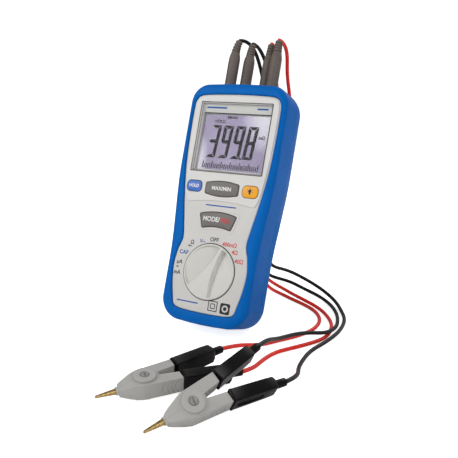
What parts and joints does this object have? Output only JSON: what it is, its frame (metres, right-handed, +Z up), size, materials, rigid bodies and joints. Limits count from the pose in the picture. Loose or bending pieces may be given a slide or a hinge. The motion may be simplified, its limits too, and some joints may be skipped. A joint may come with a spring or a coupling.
{
  "type": "milliohm meter",
  "caption": "Hand-held four-wire resistance tester with rotary selector, display, keys, fold-out stand, plug-in leads and spring-loaded Kelvin clips.",
  "frame": {"origin": "on the floor, at the middle of the overall box of the meter, its leads and its clips", "axes": "+Z up from the floor, +X to the right along the meter's width as its face is read, +Y backwards, behind the meter; the face looks towards -Y and leans back 20 degrees"},
  "size_m": [0.1598, 0.3271, 0.2654],
  "materials": {
    "blue_shell": "soft satin, slightly rubbery",
    "grey_panel": "fine matt moulding",
    "dark_case": "fine matt moulding",
    "face_plate": "smooth satin",
    "bezel": "satin silver",
    "window": "clear polished",
    "lcd": "polarised glass",
    "white_plastic": "smooth",
    "board": "solder mask",
    "black_plastic": "satin",
    "rubber_grey": "matt rubber",
    "key_blue": "satin",
    "key_grey": "satin",
    "key_orange": "satin",
    "steel": "plain",
    "brass": "gold plated",
    "fuse_glass": "ceramic",
    "battery_can": "printed can",
    "lead_black": "smooth silicone",
    "lead_red": "smooth silicone",
    "plug_plastic": "fine grained",
    "clip_grey": "satin moulding",
    "boot_black": "soft satin"
  },
  "bodies": {
    "meter": {"holster": "blue_shell", "front_case": "grey_panel", "rear_case": "dark_case", "face_plate": "face_plate", "display_bezel": "bezel", "display_window": "window", "lcd_panel": "lcd", "lcd_holder": "white_plastic", "lcd_backlight": "white_plastic", "lcd_zebra_strips": "rubber_grey", "main_board": "board", "board_components": "black_plastic", "keypad_mat": "rubber_grey", "detent_carrier": "white_plastic", "detent_balls": "steel", "detent_springs": "steel", "socket_block": "black_plastic", "socket_sleeves": "brass", "fuses": "fuse_glass", "fuse_clips": "brass", "buzzer": "black_plastic", "battery": "battery_can", "battery_snap": "black_plastic", "battery_door": "dark_case", "battery_door_screw": "steel", "case_screws": "steel", "plug_bodies": "plug_plastic", "plug_pins": "brass", "plug_strain_reliefs": "plug_plastic", "black_current_lead": "lead_black", "black_sense_lead": "lead_black", "red_current_lead": "lead_red", "red_sense_lead": "lead_red", "red_clip_fixed_arm": "clip_grey", "red_clip_fixed_boot": "boot_black", "red_clip_contacts_fixed": "brass", "red_clip_pivot_screw": "steel", "red_clip_pivot_caps": "clip_grey", "red_clip_spring": "steel", "black_clip_fixed_arm": "clip_grey", "black_clip_fixed_boot": "boot_black", "black_clip_contacts_fixed": "brass", "black_clip_pivot_screw": "steel", "black_clip_pivot_caps": "clip_grey", "black_clip_spring": "steel"},
    "selector": {"selector_knob": "grey_panel", "selector_rotor": "white_plastic", "wiper_contacts": "brass", "knob_retaining_ring": "steel"},
    "hold_key": {"hold_button": "key_blue"},
    "max_min_key": {"max_min_button": "key_grey"},
    "backlight_key": {"backlight_button": "key_orange"},
    "mode_key": {"mode_button": "key_grey"},
    "stand": {"tilt_stand": "dark_case"},
    "red_jaw": {"red_clip_moving_arm": "clip_grey", "red_clip_moving_boot": "boot_black", "red_clip_contacts_moving": "brass"},
    "black_jaw": {"black_clip_moving_arm": "clip_grey", "black_clip_moving_boot": "boot_black", "black_clip_contacts_moving": "brass"}
  },
  "joints": [
    {"name": "selector_turn", "type": "hinge", "parent": "meter", "child": "selector", "pos_m": [-0.03135, 0.00798, 0.05947], "axis": [0, -0.9397, 0.342], "range_deg": [-45, 112.5]},
    {"name": "hold_press", "type": "slide", "parent": "meter", "child": "hold_key", "axis": [0, 0.9397, -0.342], "range_m": [0, 0.001], "stiffness_N_per_m": 900, "springref_m": -0.0002},
    {"name": "max_min_press", "type": "slide", "parent": "meter", "child": "max_min_key", "axis": [0, 0.9397, -0.342], "range_m": [0, 0.001], "stiffness_N_per_m": 900, "springref_m": -0.0002},
    {"name": "backlight_press", "type": "slide", "parent": "meter", "child": "backlight_key", "axis": [0, 0.9397, -0.342], "range_m": [0, 0.001], "stiffness_N_per_m": 900, "springref_m": -0.0002},
    {"name": "mode_press", "type": "slide", "parent": "meter", "child": "mode_key", "axis": [0, 0.9397, -0.342], "range_m": [0, 0.001], "stiffness_N_per_m": 900, "springref_m": -0.0002},
    {"name": "stand_fold", "type": "hinge", "parent": "meter", "child": "stand", "pos_m": [-0.03135, 0.06647, 0.07894], "axis": [-1, 0, 0], "range_deg": [0, 34]},
    {"name": "red_clip_squeeze", "type": "hinge", "parent": "meter", "child": "red_jaw", "pos_m": [-0.01815, -0.11141, 0.0089], "axis": [-0.1044, 0.1159, -0.9878], "range_deg": [0, 12], "stiffness_Nm_per_rad": 0.25, "springref_deg": -11.46},
    {"name": "black_clip_squeeze", "type": "hinge", "parent": "meter", "child": "black_jaw", "pos_m": [0.03215, -0.12911, 0.0123], "axis": [-0.4478, 0.3409, -0.8266], "range_deg": [0, 12], "stiffness_Nm_per_rad": 0.25, "springref_deg": -11.46}
  ]
}
